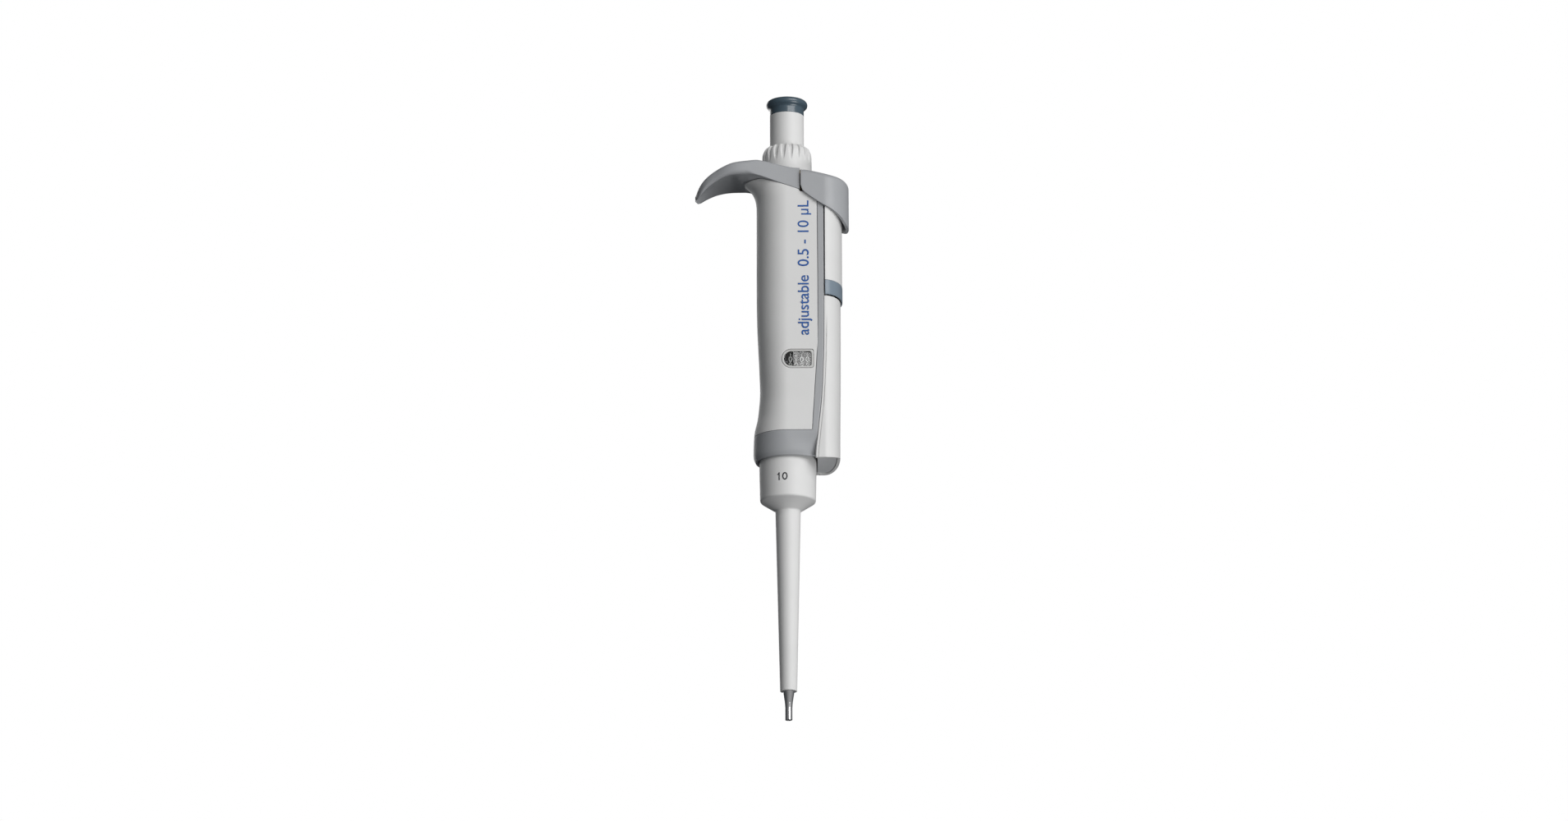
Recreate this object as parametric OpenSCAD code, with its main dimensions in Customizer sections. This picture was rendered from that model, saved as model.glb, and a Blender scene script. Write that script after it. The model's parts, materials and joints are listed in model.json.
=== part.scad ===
// Adjustable single-channel micropipette, 0.5 to 10 microlitres.
// Origin on the nozzle axis at the nozzle's open end, +Z up the handle,
// -X towards the finger hook, +X towards the ejector.

/* [Handle] */
// Half width of the grip across its flat flanks
grip_half_w = 11.5; // [11.2:0.1:12]
// Half width of the handle at the lower ring
ring_half_w = 12.3; // [12.1:0.1:12.8]
// Wall thickness of the grip shell
grip_wall = 1.5; // [1.2:0.1:1.6]
// Height of the lower ring's bottom edge
ring_z0 = 98; // [97.5:0.1:98.5]
// Height of the joint between the lower ring and the grip
ring_z1 = 107.6; // [107:0.1:109]
// Height of the grip's upper edge under the hook
grip_top = 207; // [206.5:0.1:207.5]
// Distance from the axis to the outside of the lower spine cover
spine_x = 19.9; // [19.6:0.1:20]
// Height of the joint between the lower spine cover and the colour band
spine_z1 = 160.1; // [159.8:0.1:160.2]

/* [Hook] */
// Reach of the finger hook from the axis
hook_reach = 34.6; // [33:0.1:36]
// Half width of the hook where it leaves the head
hook_half_w = 12; // [11.5:0.1:12.2]

/* [Plunger] */
// Travel of the push button, measuring stroke and blow-out together
plunger_travel = 13.5; // [12:0.1:13.6]
// Radius of the push button's sleeve
sleeve_r = 6.4; // [6:0.05:6.45]
// Height of the top of the push button at rest
button_top = 240.6; // [240:0.1:241.5]
// Radius of the piston wire
piston_r = 0.5; // [0.4:0.05:0.55]

/* [Volume setting] */
// Radius of the volume ring
ring_r = 9.3; // [9:0.05:9.4]
// Flutes round the volume ring
flutes = 20; // [12:1:24]
// Lead of the setting spindle, one microlitre of piston stroke
lead = 1.273; // [1.1:0.001:1.4]

/* [Ejector] */
// Travel of the tip ejector
eject_travel = 7; // [5:0.1:7]
// Reach of the ejector button from the axis
eject_reach = 23.2; // [22.5:0.1:23.6]
// Radius of the sleeve's collar
collar_r = 10.6; // [10.2:0.05:10.7]

/* [Nozzle] */
// Radius of the cone that a pipette tip is pushed on to
nozzle_r = 1.35; // [1.2:0.01:1.5]
// Length of the straight seat at the nozzle's end
nozzle_len = 4.5; // [4:0.1:5]
// Spring travel of the nozzle
nozzle_travel = 2.5; // [1:0.1:2.6]

/* [Hidden] */
$fn = 72;

eps = 0.02;
run_fit = 0.05;
clear = 0.3;
seam = 0.1;

// The spine's outline is half an ellipse about this X
spine_centre = 13.6;
// Plan steps round each half outline
arc_steps = 20;

// Heights and the handle's outline at them: reach of the left end, half width,
// and the front and back edges of the grey rail on each flank
left_curve = [[98, 12.6], [101, 12.8], [109.5, 12.5], [115, 11.5], [124, 10.45],
    [132, 10.5], [150, 11.3], [162, 11.5], [197, 11.5], [202, 12.1], [205, 13.4],
    [207, 16]];
width_curve = [[98, ring_half_w], [109.5, ring_half_w], [121, grip_half_w],
    [200, grip_half_w]];
rail_front = [[98, 9], [110, 9.2], [122, 9.95], [145, 11.2], [200, 11.2]];
rail_back = [[98, 10.3], [107, 11.1], [122, 12.6], [145, 13.5], [200, 13.5]];
spine_curve = [[98, spine_x - 0.4], [130, spine_x - 0.1], [158, spine_x]];

// Joint line between head and grip, and the head's top
head_x1 = 4.7;
head_slope = 0.35;
head_bore_r = 9.5;

// Setting train heights
cup_z0 = 199.5;
cup_z1 = 212.5;
cup_r = 8;
spindle_r = 3.2;
spindle_z0 = 172;
rod_r = 1.2;
core_z0 = 143;
core_z1 = 193;
core_r = 7.6;
core_bore_r = 6.6;

// Counter: four number wheels on an axle along X, behind the window
wheel_r = 3.7;
wheel_w = 1.9;
wheel_pitch = 2.1;
wheel_x0 = 0.1;
axle_y = -6.1;
axle_z = 135.5;
axle_r = 0.8;
window = [-1.8, 9.2, 132.3, 138.7];
// Drive shaft of the counter
drive_x = 9.45;
drive_y = -1.7;

// Ejector rod
rod_x = 16;
eject_rod_r = 1.1;

// Value of a smooth curve through [height, value] knots
function knot(z, t, i = 0) =
    i >= len(t) - 2 || z < t[i + 1][0] ? i : knot(z, t, i + 1);
function tangent(t, i) = i <= 0 || i >= len(t) - 1 ? 0
    : (t[i + 1][1] - t[i - 1][1]) / (t[i + 1][0] - t[i - 1][0]);
function curve(z, t) = let (i = knot(z, t), h = t[i + 1][0] - t[i][0],
    u = min(1, max(0, (z - t[i][0]) / h)), v = 1 - u)
    t[i][1] * (1 + 2 * u) * v * v + h * tangent(t, i) * u * v * v
    + t[i + 1][1] * u * u * (3 - 2 * u) - h * tangent(t, i + 1) * u * u * v;
function mix(a, b, t) = a + (b - a) * t;

// Closed skin over loops of points, which run up the outside and down the inside
module skin(loops, strips = true) {
    n = len(loops[0]);
    m = len(loops);
    half = n / 2;
    last = (m - 1) * n;
    sides = [for (k = [0:m - 2], i = [0:n - 1])
        let (a = k * n + i, b = k * n + (i + 1) % n)
        each [[a, b, b + n], [a, b + n, a + n]]];
    start = strips ? [for (i = [0:half - 2])
        each [[n - 1 - i, n - 2 - i, i + 1], [n - 1 - i, i + 1, i]]]
        : [[for (i = [n - 1:-1:0]) i]];
    finish = strips ? [for (i = [0:half - 2])
        each [[last + i, last + i + 1, last + n - 2 - i],
              [last + i, last + n - 2 - i, last + n - 1 - i]]]
        : [[for (i = [0:n - 1]) last + i]];
    polyhedron([for (l = loops) each l], concat(start, sides, finish), convexity = 8);
}

// Point t of the way along the left outline, from one flank's edge x1 round to the other
function left_point(t, x1, reach, w) = t <= 0 ? [x1, w] : t >= 1 ? [x1, -w]
    : [reach * cos(mix(90, 270, t)), w * sin(mix(90, 270, t))];
// The same for the right outline, an ellipse about spine_centre
function right_point(t, x0, reach, w) = t <= 0 ? [x0, -w] : t >= 1 ? [x0, w]
    : [spine_centre + (reach - spine_centre) * cos(mix(-90, 90, t)),
       w * sin(mix(-90, 90, t))];
// Stations along an outline: its open edge, then the arc's own points
stations = [for (i = [-1:arc_steps + 1])
    i < 0 ? 0 : i > arc_steps ? 1 : mix(0.0001, 0.9999, i / arc_steps)];

function up(zs, wall, t, f) = concat([for (z = zs) f(t, z, 0)],
    [for (i = [len(zs) - 1:-1:0]) f(t, zs[i], wall)]);

// ---- grip and frame ----

// The grip's top edge slopes down to the right; lower levels stay level
function grip_drop(x, z) = let (u = max(0, min(1, (z - 190) / (grip_top - 190))))
    head_slope * max(0, x + 10) * u * u;
grip_wall_point = function(t, z, wall)
    let (p = left_point(t, curve(z, rail_front) - seam, curve(z, left_curve) - wall,
        curve(z, width_curve) - wall))
    [p[0], p[1], z - grip_drop(p[0], z)];
grip_levels = concat([for (z = [ring_z1 + seam, 109.5, 112, 115, 118, 121, 125, 130, 137, 144,
    152, 162, 180, 192, 198, 201, 203, 205, 206.2]) z], [grip_top]);

module window_shape(grow) {
    r = (window[3] - window[2]) / 2;
    translate([window[0] + r, axle_z]) circle(r + grow);
    translate([window[0] + r, window[2] - grow])
        square([window[1] - window[0] - r + grow, 2 * r + 2 * grow]);
}

module window_prism(y0, y1, grow) {
    translate([0, y1, 0]) rotate([90, 0, 0]) linear_extrude(y1 - y0)
        window_shape(grow);
}

module grip_shell() {
    color("whitesmoke") difference() {
        skin([for (t = stations) up(grip_levels, grip_wall, t, grip_wall_point)]);
        window_prism(-13, -8, 0.6);
        translate([head_x1 - seam, -15, 200.2]) cube([10, 30, 10]);
    }
}

rail_depth = 2.4;
web_wall = 1.4;
rail_levels = [ring_z1 - 1, 111, 116, 122, 128, 136, 145, 170, 197.8];
web_levels = [114.5, 118, 122, 128, 136, 145, 170, 192];
ring_point = function(t, z, wall)
    let (round = wall > 0 ? wall : max(0, 100 - z) * 0.25,
        p = left_point(t, curve(z, rail_back), curve(z, left_curve) - round,
            curve(z, width_curve) - round))
    [p[0], p[1], z];

function bar_loop(z, y0, y1, x0, x1) =
    [[x0, y0, z], [x1, y0, z], [x1, y1, z], [x0, y1, z]];

// Straight-sided column whose edges follow the rail curves
module column(levels, y0, y1, dx0, dx1) {
    rows = [for (z = levels) let (w = curve(z, width_curve),
        a = curve(z, rail_front) + dx0, b = dx1 ? a + dx1 : curve(z, rail_back))
        bar_loop(z, y0(w), y1(w), a, b)];
    n = len(levels);
    faces = concat([[3, 2, 1, 0]],
        [for (k = [0:n - 2], i = [0:3]) let (a = 4 * k + i, b = 4 * k + (i + 1) % 4)
            each [[a, b, b + 4], [a, b + 4, a + 4]]],
        [[for (i = [0:3]) 4 * (n - 1) + i]]);
    polyhedron([for (r = rows) each r], [for (f = faces) [for (i = [len(f) - 1:-1:0]) f[i]]]);
}

module chassis() {
    color("darkgray") {
        skin([for (t = stations)
            up([ring_z0, 98.6, 99.3, 100, 103, 106, ring_z1], 1.1, t, ring_point)]);
        column(rail_levels, function(w) w - rail_depth, function(w) w, 0, 0);
        column(rail_levels, function(w) -w, function(w) rail_depth - w, 0, 0);
        column(web_levels, function(w) rail_depth - w - 0.5,
            function(w) w - rail_depth + 0.5, 0.4, web_wall);
    }
}

cover_wall = 1.2;
function cover_bottom(x) = 98 + 0.38 * max(0, x - 11);
cover_point = function(t, z, wall)
    let (p = right_point(t, curve(z, rail_back) + clear, curve(z, spine_curve) - wall,
        curve(z, width_curve) - 0.2 - wall),
        u = (z - 98) / (spine_z1 - 98))
    [p[0], p[1], mix(cover_bottom(p[0]), spine_z1, u)];

module spine_cover() {
    color("whitesmoke") skin([for (t = stations)
        up([98, 101, 104, 107, 110, 114, 118, 122, 128, 136, 145, 153, spine_z1],
            cover_wall, t, cover_point)]);
}

// Insert that closes the lower end of the spine, recessed behind its edge
module spine_foot() {
    low = 0.6;
    thick = 1.2;
    gap = cover_wall + seam;
    points = [for (i = [0:24]) let (a = mix(-90, 90, i / 24))
        [12.6 + (spine_x - 0.4 - gap - 12.6) * cos(a), (ring_half_w - 0.2 - gap) * sin(a)]];
    low_ring = [for (p = points) [p[0], p[1], cover_bottom(p[0]) + low]];
    top_ring = [for (p = points) [p[0], p[1], cover_bottom(p[0]) + low + thick]];
    n = len(points);
    color("dimgray") polyhedron(concat(low_ring, top_ring), concat(
        [[for (i = [0:n - 1]) i]], [[for (i = [n - 1:-1:0]) n + i]],
        [for (i = [0:n - 1]) let (j = (i + 1) % n) each [[i, n + i, n + j], [i, n + j, j]]]));
}

// ---- head and finger hook ----

// Reach, crest height, lower edge height and half width along the hook
hook_crest = [[-hook_reach, 202.4], [-34, 203.6], [-33, 205.6], [-31, 208], [-28, 210.2],
    [-24.5, 211.8], [-20, 212.9], [-12, 213.7], [-9, 213.3], [head_x1, 210.5]];
hook_lower = [[-hook_reach, 201.2], [-33.5, 201], [-30.4, 204.2], [-26.9, 206.8],
    [-23.3, 208.4], [-20, 209.4], [-14, 209.5], [-10, 207.2], [-3.6, 204.85],
    [head_x1, 201.95], [8, 200.8]];
hook_width = [[-hook_reach, 1.6], [-33.6, 4], [-32, 6.2], [-30, 7.8], [-27, 9.4],
    [-23, 11.2], [-19, hook_half_w], [-12, hook_half_w], [0, grip_half_w + 0.2],
    [head_x1, grip_half_w + 0.2]];
hook_xs = concat([-hook_reach, -34.3, -34, -33.5, -32.8, -32, -31, -30, -28.5, -27, -25,
    -23, -21, -19, -17, -15, -13, -11.5, -10, -8, -5, -2], [1, head_x1]);
hook_top_steps = 16;

// Loop at X: up over the crest from the near edge to the far one, back underneath
function hook_loop(x) = let (w = curve(x, hook_width), zc = curve(x, hook_crest),
    ze = curve(x, hook_lower), side = min(1.6, (zc - ze) / 2),
    belly = x > -17 && x < -9 ? grip_top + 0.15 - ze : 0,
    hollow = x > -17 ? belly : min(1.6, (zc - ze) * 0.35) * min(1, (-15 - x) / 5))
    concat([for (i = [0:hook_top_steps]) let (a = 180 * i / hook_top_steps)
            [x, -w * cos(a), mix(ze + side, zc, pow(sin(a), 0.45))]],
        [for (i = [0:hook_top_steps]) let (y = mix(w - 0.4, 0.4 - w, i / hook_top_steps))
            [x, y, ze + hollow * (1 - pow(y / w, 2))]]);

module finger_hook() {
    color("darkgray") difference() {
        skin([for (x = hook_xs) hook_loop(x)]);
        translate([0, 0, 195]) cylinder(h = 30, r = head_bore_r);
        translate([0, 0, 210.2]) cylinder(h = 10, r = head_bore_r + 0.4);
    }
}

// ---- window and counter ----

module window_bezel() {
    color("silver") difference() {
        window_prism(-11.35, -10.1, 0.5);
        window_prism(-12, -9, -0.35);
    }
}

module window_lens() {
    color("lightcyan") window_prism(-11.1, -10.3, -0.4);
}

module counter_frame() {
    x0 = -1.3;
    x1 = wheel_x0 + 3 * wheel_pitch + wheel_w + 0.15;
    y0 = -9;
    depth = 7.2;
    z0 = 130.4;
    color("gray") difference() {
        union() {
            translate([x0, y0, z0]) cube([0.9, depth, 10.2]);
            translate([x1, y0, z0]) cube([0.35, depth, 10.2]);
            translate([x0, y0 + depth - 0.4, z0]) cube([x1 - x0, 0.4, 10.2]);
            translate([x0, y0, 140.1]) cube([x1 - x0, depth, 0.8]);
        }
        translate([-3, axle_y, axle_z]) rotate([0, 90, 0]) cylinder(h = 15, r = axle_r);
        translate([0, 0, 130]) cylinder(h = 15, r = rod_r + clear);
        // Room for the teeth on the drive shaft
        translate([drive_x, drive_y, 133.7]) cylinder(h = 3.6, r = 1.05);
    }
}

module counter_axle() {
    color("silver") translate([-1.3, axle_y, axle_z]) rotate([0, 90, 0])
        cylinder(h = 11.6, r = axle_r - 0.01);
}

// Number wheel i, counted from the left, with ten index notches in its rim
module number_wheel(i) {
    color("dimgray") translate([wheel_x0 + i * wheel_pitch, axle_y, axle_z])
        rotate([0, 90, 0]) difference() {
            cylinder(h = wheel_w, r = wheel_r);
            translate([0, 0, -1]) cylinder(h = 4, r = axle_r + run_fit);
            for (k = [0:9]) rotate(36 * k + 18)
                translate([wheel_r, 0, wheel_w - 0.4]) cylinder(h = 1, r = 0.35);
        }
}

module wheel_tens() { number_wheel(0); }
module wheel_ones() { number_wheel(1); }
module wheel_tenths() { number_wheel(2); }
module wheel_hundredths() { number_wheel(3); }

// Spur gear with a bore; teeth are plain wedges
module gear(r, root, h, teeth, bore) {
    difference() {
        union() {
            cylinder(h = h, r = root);
            for (k = [0:teeth - 1]) rotate(360 * k / teeth) linear_extrude(h)
                polygon([[root - 0.2, -0.3], [r, -0.16], [r, 0.16], [root - 0.2, 0.3]]);
        }
        translate([0, 0, -1]) cylinder(h = h + 2, r = bore);
    }
}

module bevel_wheel() {
    color("goldenrod") translate([9.15, axle_y, axle_z]) rotate([0, 90, 0])
        gear(3.2, 2.7, 1, 18, axle_r + run_fit);
}

module drive_pinion() {
    color("goldenrod") translate([drive_x, drive_y, 194.2])
        gear(2.3, 1.8, 2.6, 14, 0.5);
}

module counter_shaft() {
    color("silver") translate([drive_x, drive_y, 133.5]) cylinder(h = 64.1, r = 0.5);
}

module shaft_bevel() {
    color("goldenrod") translate([drive_x, drive_y, 133.9]) gear(0.9, 0.75, 3.2, 6, 0.5);
}

// ---- setting train ----

module volume_ring() {
    z0 = 210.7;
    color("whitesmoke") difference() {
        rotate_extrude() polygon(concat(
            [[cup_r, z0], [ring_r + 0.2, z0], [ring_r + 0.2, z0 + 1.2], [ring_r, z0 + 2]],
            [for (i = [0:8]) let (a = 90 * i / 8)
                [mix(7.1, ring_r, cos(a)), 217.8 + 3.8 * sin(a)]],
            [[sleeve_r + 0.2, 221.6], [sleeve_r + 0.2, 220.4], [sleeve_r + 0.35, 220],
             [sleeve_r + 0.35, cup_z1 + eps], [cup_r, cup_z1 + eps]]));
        for (k = [0:flutes - 1]) rotate(360 * k / flutes)
            translate([ring_r + 0.75, 0, 214.8]) rotate([0, -9, 0])
                cylinder(h = 12, r1 = 0.2, r2 = 1.15);
    }
}

module volume_spindle() {
    grooves = 18;
    color("silver") difference() {
        union() {
            translate([0, 0, cup_z0]) cylinder(h = cup_z1 - cup_z0, r = cup_r);
            translate([0, 0, spindle_z0]) cylinder(h = cup_z0 - spindle_z0 + 1,
                r = spindle_r);
        }
        translate([0, 0, cup_z0 + 1.5]) cylinder(h = 20, r = sleeve_r + 0.35);
        translate([0, 0, 160]) cylinder(h = 60, r = rod_r + clear);
        for (k = [0:grooves - 1]) translate([0, 0, spindle_z0 + 0.6 + k * lead])
            difference() {
                cylinder(h = 0.5, r = spindle_r + 1);
                translate([0, 0, -1]) cylinder(h = 3, r = spindle_r - 0.35);
            }
    }
}

module spindle_gear() {
    color("goldenrod") translate([0, 0, 194.2]) gear(7.15, 6.6, 2.6, 42, spindle_r);
}

module circlip() {
    color("silver") difference() {
        translate([0, 0, 201.8]) cylinder(h = 0.8, r = 9.1);
        translate([0, 0, 200]) cylinder(h = 4, r = cup_r);
        translate([-12, -1.5, 200]) cube([10, 3, 4]);
    }
}

module spindle_bush() {
    color("tan") difference() {
        translate([0, 0, 203]) cylinder(h = 7, r = head_bore_r - 0.02);
        translate([0, 0, 200]) cylinder(h = 12, r = cup_r + run_fit);
    }
}

module core_tube() {
    color("lightgray") difference() {
        translate([0, 0, core_z0]) cylinder(h = core_z1 - core_z0, r = core_r);
        translate([0, 0, core_z0 + 1.5]) cylinder(h = 60, r = core_bore_r);
        translate([0, 0, core_z0 - 1]) cylinder(h = 5, r = 2.4);
        for (s = [-1, 1]) translate([-1.3, s > 0 ? 5 : -9, 150]) cube([2.6, 4, 42]);
    }
}

module rod_bush() {
    color("tan") difference() {
        union() {
            translate([0, 0, core_z0 - 0.6]) cylinder(h = 2.4, r = 2.38);
            translate([0, 0, core_z0 + 1.5 + eps]) cylinder(h = 0.6, r = 3);
        }
        translate([0, 0, core_z0 - 3]) cylinder(h = 8, r = rod_r + run_fit);
    }
}

// Travelling stop: a threaded ring, two keyed bars and the stop ring under them
module stop_nut() {
    z_low = 163;
    z_ring = 185;
    r = core_bore_r - 0.25;
    color("peru") difference() {
        union() {
            translate([0, 0, z_low]) cylinder(h = 2, r = r);
            translate([0, 0, z_ring]) cylinder(h = 4, r = r);
            for (s = [-1, 1]) intersection() {
                translate([-1, s > 0 ? 4.4 : -4.4 - 3, z_low]) cube([2, 3, 26]);
                translate([0, 0, z_low]) cylinder(h = 26, r = core_r - 0.3);
            }
        }
        translate([0, 0, z_low - 1]) cylinder(h = 4, r = 2.9);
        translate([0, 0, z_ring - 1]) cylinder(h = 6, r = spindle_r + run_fit);
    }
}

module blowout_washer() {
    color("silver") difference() {
        translate([0, 0, 150]) cylinder(h = 1.1, r = 6.1);
        translate([0, 0, 148]) cylinder(h = 5, r = 3);
    }
}

// Round-wire spring between two heights
module coil(r, wire, z0, z1, turns) {
    steps = 12;
    sides = 6;
    count = turns * steps;
    rise = (z1 - z0 - 2 * wire) / count;
    loops = [for (k = [0:count]) let (a = 360 * k / steps) [for (i = [0:sides - 1])
        let (b = -360 * i / sides, d = r + wire * cos(b))
        [d * cos(a), d * sin(a), z0 + wire + k * rise + wire * sin(b)]]];
    skin(loops, false);
}

module main_spring() {
    color("silver") coil(4.4, 0.4, cup_z0 + 1.55, 232.9, 9);
}

module blowout_spring() {
    color("silver") coil(4.8, 0.5, core_z0 + 1.6, 149.95, 4);
}

module piston_spring() {
    color("silver") coil(3.1, 0.3, 90.1, 117.9, 9);
}

module ejector_spring() {
    color("silver") translate([rod_x, 0, 0]) coil(1.75, 0.25, 133.1, 159.9, 10);
}

module cone_spring() {
    color("silver") coil(2.2, 0.25, 77.1, 87.9, 5);
}

// ---- plunger ----

module button_cap() {
    color("slategray") difference() {
        rotate_extrude() polygon([[0, 234.7], [sleeve_r, 234.7], [sleeve_r, 237.2],
            [7.1, 237.8], [7.7, 238.4], [7.8, 238.9], [7.7, 239.7], [7.3, 240.3],
            [6.7, button_top], [5.8, 240.4], [4.4, 239.8], [2.4, 239.4], [0, 239.3]]);
        translate([0, 0, 234]) cylinder(h = 3.5, r = rod_r);
    }
}

module button_sleeve() {
    color("whitesmoke") difference() {
        translate([0, 0, 216]) cylinder(h = 18.7, r = sleeve_r);
        translate([0, 0, 215]) cylinder(h = 18, r = sleeve_r - 1.1);
        translate([0, 0, 215]) cylinder(h = 25, r = rod_r);
    }
}

module control_rod() {
    color("silver") translate([0, 0, 122.5]) cylinder(h = 115, r = rod_r - 0.01);
}

module stop_collar() {
    color("peru") difference() {
        translate([0, 0, 165 + lead]) cylinder(h = 3, r = 2.6);
        translate([0, 0, 160]) cylinder(h = 20, r = rod_r);
    }
}

module piston_holder() {
    color("steelblue") difference() {
        translate([0, 0, 118]) cylinder(h = 4.5, r = 3.7);
        translate([0, 0, 117]) cylinder(h = 3.5, r = piston_r);
    }
}

module piston() {
    color("silver") translate([0, 0, 30]) cylinder(h = 90.4, r = piston_r - 0.01);
}

// ---- lower part ----

module lower_shaft() {
    color("lightgray") difference() {
        union() {
            translate([0, 0, 46]) cylinder(h = 24, r = 2.85);
            translate([0, 0, 68]) cylinder(h = 21, r = 3.5);
            translate([0, 0, 88]) cylinder(h = 38, r = 5.2);
            translate([0, 0, 118]) cylinder(h = 2.4, r = 7.6);
        }
        translate([0, 0, 40]) cylinder(h = 50, r = 2.15 + run_fit);
        translate([0, 0, 69.6]) cylinder(h = 18.4, r = 2.96);
        translate([0, 0, 40]) cylinder(h = 80, r = 0.9);
        translate([0, 0, 90]) cylinder(h = 40, r = 4.1);
    }
}

module union_nut() {
    color("gray") difference() {
        translate([0, 0, 114]) cylinder(h = 4 - eps, r = 8.1, $fn = 12);
        translate([0, 0, 110]) cylinder(h = 10, r = 5.25);
    }
}

module shaft_o_ring() {
    color("dimgray") translate([0, 0, 121]) rotate_extrude()
        translate([5.75, 0]) circle(0.5, $fn = 24);
}

module shaft_socket() {
    color("darkgray") difference() {
        union() {
            translate([0, 0, 120.45]) cylinder(h = 6, r = 8.2);
            translate([5, -4, 121.5]) cube([5.2, 8, 4]);
        }
        translate([0, 0, 119]) cylinder(h = 10, r = 5.22);
        translate([0, 0, 119]) cylinder(h = 2.6, r = 6.3);
    }
}

module tip_cone() {
    color("gainsboro") difference() {
        rotate_extrude() polygon([[0, 0], [nozzle_r, 0], [nozzle_r, nozzle_len],
            [1.5, 6.5], [2.15, 10.8], [2.15, 70], [2.9, 70], [2.9, 74], [0, 74]]);
        translate([0, 0, -1]) cylinder(h = 80, r = piston_r + 0.12);
        translate([0, 0, 71.5]) cylinder(h = 5, r = 1.6);
    }
}

module piston_seal() {
    color("dimgray") difference() {
        translate([0, 0, 71.5]) cylinder(h = 2.3, r = 1.58);
        translate([0, 0, 70]) cylinder(h = 5, r = piston_r + 0.03);
    }
}

module seal_gland() {
    color("gray") difference() {
        translate([0, 0, 74 + eps]) cylinder(h = 2.9, r = 2.9);
        translate([0, 0, 70]) cylinder(h = 9, r = 0.9);
    }
}

// ---- ejector ----

module ejector_sleeve() {
    wall = 0.65;
    color("whitesmoke") difference() {
        rotate_extrude() polygon(concat([[0, 10.8], [2.95, 10.8], [3.13, 11.1],
            [4.7, 79.8], [9.3, 83.5], [10.1, 84.3]],
            [[10.4, 85.5], [collar_r, 95], [collar_r, 110], [0, 110]]));
        rotate_extrude() polygon([[0, 10], [3.13 - wall, 10], [4.7 - wall - 0.05, 79.8],
            [4.7 - wall, 81], [9.2, 86.4], [9.3, 112], [0, 112]]);
    }
}

module ejector_arm() {
    color("gray") difference() {
        union() {
            translate([0, 0, 110 + eps]) cylinder(h = 2.5, r = 9.9);
            translate([7, -3, 110 + eps]) cube([rod_x - 7, 6, 2.5]);
            translate([rod_x, 0, 110 + eps]) cylinder(h = 2.5, r = 2);
        }
        translate([0, 0, 105]) cylinder(h = 10, r = 8.4);
        translate([rod_x, 0, 105]) cylinder(h = 10, r = eject_rod_r);
    }
}

module ejector_rod() {
    color("silver") translate([rod_x, 0, 0]) {
        translate([0, 0, 110 + eps]) cylinder(h = 81, r = eject_rod_r - 0.01);
        translate([0, 0, 160]) cylinder(h = 1.5, r = 2.1);
    }
}

module ejector_guides() {
    color("dimgray") difference() {
        for (z = [129, 176])
            let (x = curve(z + 4, rail_front) + 0.4 + web_wall + eps)
                translate([x, -3, z]) cube([17.9 - x, 6, 4]);
        translate([rod_x, 0, 120]) cylinder(h = 70, r = eject_rod_r + run_fit);
    }
}

slide_x = 20.65;
slide_half_w = 12;
slide_wall = 0.5;
slide_point = function(t, z, wall)
    let (p = right_point(t, 14.1, slide_x - wall, slide_half_w - wall)) [p[0], p[1], z];

module ejector_slide() {
    color("whitesmoke") difference() {
        union() {
            skin([for (t = stations) up([166.2, 180, 203], slide_wall, t, slide_point)]);
            translate([14.4, -11.2, 188]) cube([1, 22.4, 2.6]);
            translate([14.4, -3, 188]) cube([5.9, 6, 2.6]);
        }
        translate([rod_x, 0, 180]) cylinder(h = 20, r = eject_rod_r);
    }
}

module colour_band() {
    color("lightsteelblue")
        skin([for (t = stations) up([160.5, 166.1], slide_wall, t, slide_point)]);
}

button_left = 5;
button_half_w = 12.8;
button_wall = 0.7;
button_lower = [[5, 201.8], [7.2, 200.6], [10.4, 198.1], [13.6, 195.6], [16.9, 193.9],
    [20.3, 191.8], [eject_reach, 189.4]];
button_upper = [[5, 209.9], [16, 207.9], [22, 207.5], [eject_reach, 207.4]];

// Upright section of the button's wall and roof, t of the way round its outline
function button_loop(t) =
    let (o = right_point(t, button_left, eject_reach, button_half_w),
        m = right_point(t, button_left, eject_reach - 0.9, button_half_w - 0.3),
        c = right_point(t, button_left, eject_reach - 2.2, button_half_w - 1),
        w = right_point(t, button_left, eject_reach - button_wall - 0.3,
            button_half_w - button_wall),
        a = mix(-59.6, 59.6, t), hole = 9.9,
        r = [hole * cos(a), hole * sin(a)],
        s = [max(button_left, r[0]), r[1]],
        top = curve(o[0], button_upper), low = curve(o[0], button_lower))
    [[o[0], o[1], low], [o[0], o[1], top - 2], [m[0], m[1], top - 0.7],
     [c[0], c[1], top], [s[0], s[1], curve(s[0], button_upper)],
     [s[0], s[1], curve(s[0], button_upper) - 1.3], [w[0], w[1], top - 1.7],
     [w[0], w[1], low]];

module ejector_button() {
    color("darkgray") skin([for (t = stations) button_loop(t)], false);
}

grip_shell();
chassis();
finger_hook();
spine_cover();
spine_foot();
window_bezel();
window_lens();
counter_frame();
counter_axle();
core_tube();
rod_bush();
spindle_bush();
ejector_guides();
shaft_socket();
lower_shaft();
union_nut();
shaft_o_ring();
blowout_spring();
blowout_washer();
main_spring();
piston_spring();
ejector_spring();
cone_spring();
volume_ring();
volume_spindle();
spindle_gear();
circlip();
stop_nut();
button_cap();
button_sleeve();
control_rod();
stop_collar();
piston_holder();
piston();
ejector_button();
ejector_slide();
colour_band();
ejector_rod();
ejector_arm();
ejector_sleeve();
tip_cone();
piston_seal();
seal_gland();
wheel_tens();
wheel_ones();
wheel_tenths();
wheel_hundredths();
bevel_wheel();
drive_pinion();
counter_shaft();
shaft_bevel();
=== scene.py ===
import json
import math

import bmesh
import bpy
import numpy as np
from mathutils import Matrix, Vector


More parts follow.
